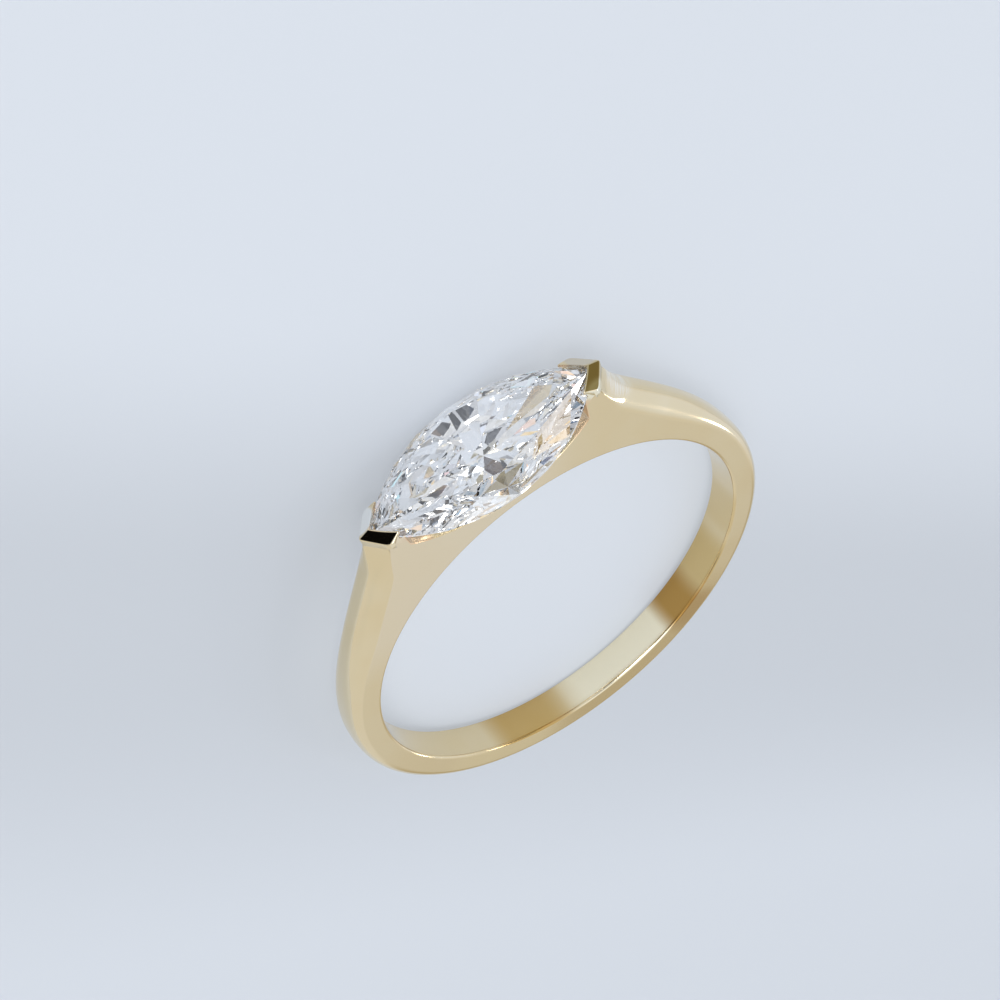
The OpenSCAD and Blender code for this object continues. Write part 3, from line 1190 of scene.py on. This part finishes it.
    def flank_faces(self, points: Array, outer: Array, inner: Array,
                    nearest: float = 1e-9) -> list:
        """Fill a flat flank between its outer and inner loop with triangles.

        Args:
            points: All corners of the band.
            outer: Numbers of the outer loop's corners.
            inner: Numbers of the inner loop's corners.
            nearest: Distance below which two corners count as one.

        Returns:
            The triangles.
        """
        flat = points[:, [0, 2]]
        number = np.concatenate([outer, inner])
        loops = [np.arange(len(outer)), len(outer) + np.arange(len(inner))]
        sides = [(int(a), int(b)) for loop in loops for a, b in zip(loop, np.roll(loop, -1))]
        spread = [Vector(p) for p in flat[number]]
        _, _, made, sources, *_ = geometry.delaunay_2d_cdt(spread, sides, [], 0, nearest)
        origin = np.array([source[0] for source in sources])
        triangles = number[origin[np.array(made)]]
        middle = flat[triangles].mean(1)
        kept = self.inside(middle, flat[outer]) & ~self.inside(middle, flat[inner])
        return triangles[kept].tolist()

    def build(self, finish: GoldFinish) -> None:
        """Make the band.

        Args:
            finish: How its gold is finished.
        """
        (outer, outer_zones), (bore, bore_zones) = self.outer_grid(), self.bore_grid()
        points = self.listed(outer, bore)
        first_bore = outer[..., 0].size
        outer_at = np.arange(first_bore).reshape(outer.shape[:2])
        bore_at = np.arange(first_bore, len(points)).reshape(bore.shape[:2])
        faces = self.grid_faces(outer_at) + self.grid_faces(bore_at)
        for column in (0, -1):
            faces += self.flank_faces(points, outer_at[:, column], bore_at[:, column])
        normals = self.listed(self.grid_normals(outer), self.grid_normals(bore[::-1])[::-1])
        piece = make_piece("gold_band", self.pose.placed(points), faces,
                           "band", self.pose.turned(normals))
        for zone in Zone:
            values = np.zeros(len(points), np.float32)
            for at, zones in ((outer_at, outer_zones), (bore_at, bore_zones)):
                values[at] = zones.get(zone, 0.0)
            mark = piece.data.attributes.new(zone.value, "FLOAT", "POINT")
            mark.data.foreach_set("value", values)
        piece.data.materials.append(finish.material("yellow gold", self.pose))


@dataclass(frozen=True)
class SkyPatch:
    """A soft round patch of the studio's surroundings, in degrees.

    Azimuth 0 is the side that the stone faces, and 90 is the right of a viewer there. The
    fringe shifts the patch one way for red and the other way for blue, as a prism would.
    """

    name: str
    azimuth: float
    elevation: float
    width: float
    softness: float
    colour: tuple
    fringe: float = 0.0

    def share(self, kit: NodeKit, way: Wire, shift: float) -> Wire:
        """Give 1 within the patch, turned aside by some degrees, and 0 beyond it."""
        middle = compass(self.azimuth + shift, self.elevation)
        return kit.cone(way, middle, self.width, self.softness)


@dataclass(frozen=True)
class Softbox:
    """A square studio light that faces the ring, in metres and degrees."""

    name: str
    azimuth: float
    elevation: float
    distance: float
    side: float
    power: float
    colour: tuple


@dataclass
class Studio:
    """Camera, floor, surroundings and soft lights."""

    pose: Pose
    eye_mm: tuple = (7.690, 37.242, 69.988)
    aim_mm: tuple = (-0.538, -3.685, 2.293)
    roll: float = 138.856
    lens: float = 70.056
    sensor: float = 36.0
    clip: tuple = (0.001, 10.0)
    bounces: int = 32
    glossy_bounces: int = 20
    floor_side: float = 1.2
    floor_colour: tuple = (0.32, 0.34, 0.37)
    floor_glow: tuple = (0.39, 0.42, 0.465)
    floor_cloud_mm: float = 55.556
    floor_cloud_rise: tuple = (0.3, 0.7)
    floor_cloud_share: float = 0.5
    floor_cloud_tone: float = 0.965
    floor_fade: tuple = (0.35, 1.0, 0.0)
    floor_fade_mm: tuple = (-12.0, 12.0)
    floor_fade_tone: float = 0.92
    floor_shade: tuple = (-0.785, -0.62, 0.0)
    floor_shade_mm: tuple = (-24.0, -6.0, -1.0, 10.0)
    floor_shade_tone: float = 0.70
    floor_clear_mm: tuple = (7.5, 12.5)
    patches: tuple = (
        SkyPatch("front wall", 0.0, 12.0, 50.0, 30.0, (0.60, 0.62, 0.66)),
        SkyPatch("back wall", 175.0, 30.0, 78.0, 24.0, (0.75, 0.76, 0.765)),
        SkyPatch("back wall foot", 185.0, 2.0, 20.0, 8.0, (0.50, 0.46, 0.36)),
        SkyPatch("window", -128.0, 22.0, 22.0, 14.0, (0.83, 0.90, 1.05)),
        SkyPatch("top", 0.0, 88.0, 35.0, 30.0, (0.82, 0.83, 0.84)),
        SkyPatch("right shade", 39.0, 12.0, 12.0, 6.0, (0.003, 0.003, 0.003)),
        SkyPatch("left shade", -51.0, 8.0, 11.0, 6.0, (0.26, 0.22, 0.11)),
        SkyPatch("photographer", 4.0, 18.0, 13.0, 5.0, (0.035, 0.035, 0.04), 0.5),
        SkyPatch("tripod", -28.0, 6.0, 6.0, 3.0, (0.05, 0.05, 0.06), 0.7),
        SkyPatch("shelf", 100.0, 38.0, 9.0, 4.0, (0.06, 0.06, 0.07), 1.0),
        SkyPatch("curtain", -75.0, 40.0, 9.0, 4.0, (0.06, 0.06, 0.07), 1.0),
        SkyPatch("lamp head", 150.0, 62.0, 8.0, 4.0, (0.06, 0.06, 0.07), 1.0),
        SkyPatch("lamp arm", -13.0, 58.0, 7.0, 3.0, (0.06, 0.06, 0.07), 1.0),
        SkyPatch("warm glint", 115.0, 60.0, 8.0, 4.0, (1.0, 0.76, 0.38), 1.0),
        SkyPatch("warm lamp", -49.5, 32.5, 4.0, 2.0, (1.5, 1.10, 0.62), 0.5),
        SkyPatch("amber glint", -15.0, 4.0, 4.0, 2.0, (1.0, 0.78, 0.45), 1.0),
        SkyPatch("cool glint", -4.0, 4.0, 4.0, 2.0, (0.62, 0.93, 1.05), 1.0),
        SkyPatch("pink glint", 19.0, 2.0, 3.0, 2.0, (1.0, 0.76, 0.74), 1.0),
        SkyPatch("desk lamp", -142.0, 24.0, 3.5, 1.0, (10.0, 9.6, 9.0)),
        SkyPatch("hanging lamp", -108.0, 49.0, 3.5, 1.0, (10.0, 9.6, 9.0)),
    )
    sky: tuple = (0.77, 0.80, 0.85)
    softboxes: tuple = (
        Softbox("key softbox", 19.0, 46.0, 0.35, 0.12, 0.30, (1.0, 0.99, 0.97)),
        Softbox("fill softbox", 60.0, 72.0, 0.40, 0.20, 0.14, (0.97, 0.99, 1.0)),
    )

    def place_camera(self) -> None:
        """Put the camera at the photograph's angle to the ring."""
        lens = bpy.data.cameras.new("camera")
        lens.lens, lens.sensor_width = self.lens, self.sensor
        lens.clip_start, lens.clip_end = self.clip
        camera = add_object("camera", lens)
        eye, aim = self.pose.placed([self.eye_mm, self.aim_mm])
        roll = Matrix.Rotation(math.radians(self.roll), 4, "Z")
        camera.matrix_world = facing(Vector(eye), Vector(aim - eye)) @ roll
        bpy.context.scene.camera = camera

    def lay_floor(self) -> None:
        """Lay the pale floor, lit a little from below like a light table.

        It fades from back to front, and a soft darker band crosses it outside the ring.
        """
        reach = self.floor_side / 2.0
        mesh = bpy.data.meshes.new("floor")
        mesh.from_pydata([(x, y, 0.0) for x, y in ((-reach, -reach), (reach, -reach),
                                                   (reach, reach), (-reach, reach))],
                         [], [(0, 1, 2, 3)])
        made, kit = new_material("pale board")
        spot = kit.node("ShaderNodeTexCoord", output="Object")
        cloud = kit.noise(spot, self.floor_cloud_mm, detail=2.0)
        cloud = cloud.rise(*self.floor_cloud_rise) * self.floor_cloud_share
        tint = kit.mix(cloud, self.floor_colour,
                       dimmed(self.floor_colour, self.floor_cloud_tone))
        faded = kit.dot(spot, self.floor_fade).rise_mm(*self.floor_fade_mm)
        glow = kit.mix(faded, self.floor_glow, dimmed(self.floor_glow, self.floor_fade_tone))
        across = kit.dot(spot, self.floor_shade)
        low, full_low, full_high, high = self.floor_shade_mm
        away = kit.away(spot, self.pose.centre)
        shade = across.rise_mm(low, full_low) * across.rise_mm(high, full_high)
        shade = shade * away.rise_mm(*self.floor_clear_mm)
        glow = kit.mix(shade, glow, dimmed(self.floor_glow, self.floor_shade_tone))
        kit.surface({"Base Color": tint, "Roughness": 0.9, "Specular IOR Level": 0.1,
                     "Emission Color": glow, "Emission Strength": 1.0})
        mesh.materials.append(made)
        floor = add_object("floor", mesh)

    def hang_sky(self) -> None:
        """Paint the surroundings: an even pale sky with soft patches blended over it."""
        world = bpy.data.worlds.new("studio")
        bpy.context.scene.world = world
        world.use_nodes = True
        kit = NodeKit(world.node_tree)
        way = kit.node("ShaderNodeTexCoord", output="Generated")
        colour = self.sky
        for patch in self.patches:
            shares = [patch.share(kit, way, patch.fringe * side) for side in (1.0, 0.0, -1.0)]
            share = kit.node("ShaderNodeCombineXYZ", {}, shares)
            change = kit.vector("SUBTRACT", patch.colour, colour)
            colour = kit.vector("ADD", kit.vector("MULTIPLY", change, share), colour)
        shade = kit.node("ShaderNodeBackground", {}, {"Color": colour, "Strength": 1.0})
        kit.node("ShaderNodeOutputWorld", {}, {"Surface": shade})

    def hang_softboxes(self) -> None:
        """Hang the square lights, each facing the ring."""
        centre = Vector(self.pose.centre)
        for box in self.softboxes:
            light = bpy.data.lights.new(box.name, "AREA")
            light.shape, light.size = "SQUARE", box.side
            light.energy, light.color = box.power, box.colour
            place = centre + Vector(compass(box.azimuth, box.elevation)) * box.distance
            add_object(box.name, light).matrix_world = facing(place, centre - place)

    def build(self) -> None:
        """Set up the whole studio, with paths long enough for light inside the stone."""
        scene = bpy.context.scene
        scene.view_settings.view_transform = "Standard"
        scene.cycles.max_bounces = scene.cycles.transmission_bounces = self.bounces
        scene.cycles.glossy_bounces = self.glossy_bounces
        self.place_camera()
        self.lay_floor()
        self.hang_sky()
        self.hang_softboxes()


def main() -> None:
    """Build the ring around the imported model, piece by piece."""
    logging.basicConfig(level=logging.INFO, format="%(name)s: %(message)s")
    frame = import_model()
    pose = Pose.of_record(frame["record"])
    Studio(pose).build()
    low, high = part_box("stone")
    stone = Stone(pose, half_l=(high[0] - low[0]) / 2.0 / MM)
    stone.build(StoneFinish())
    Band(pose, stone).build(GoldFinish())
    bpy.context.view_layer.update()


if __name__ == "__main__":
    main()
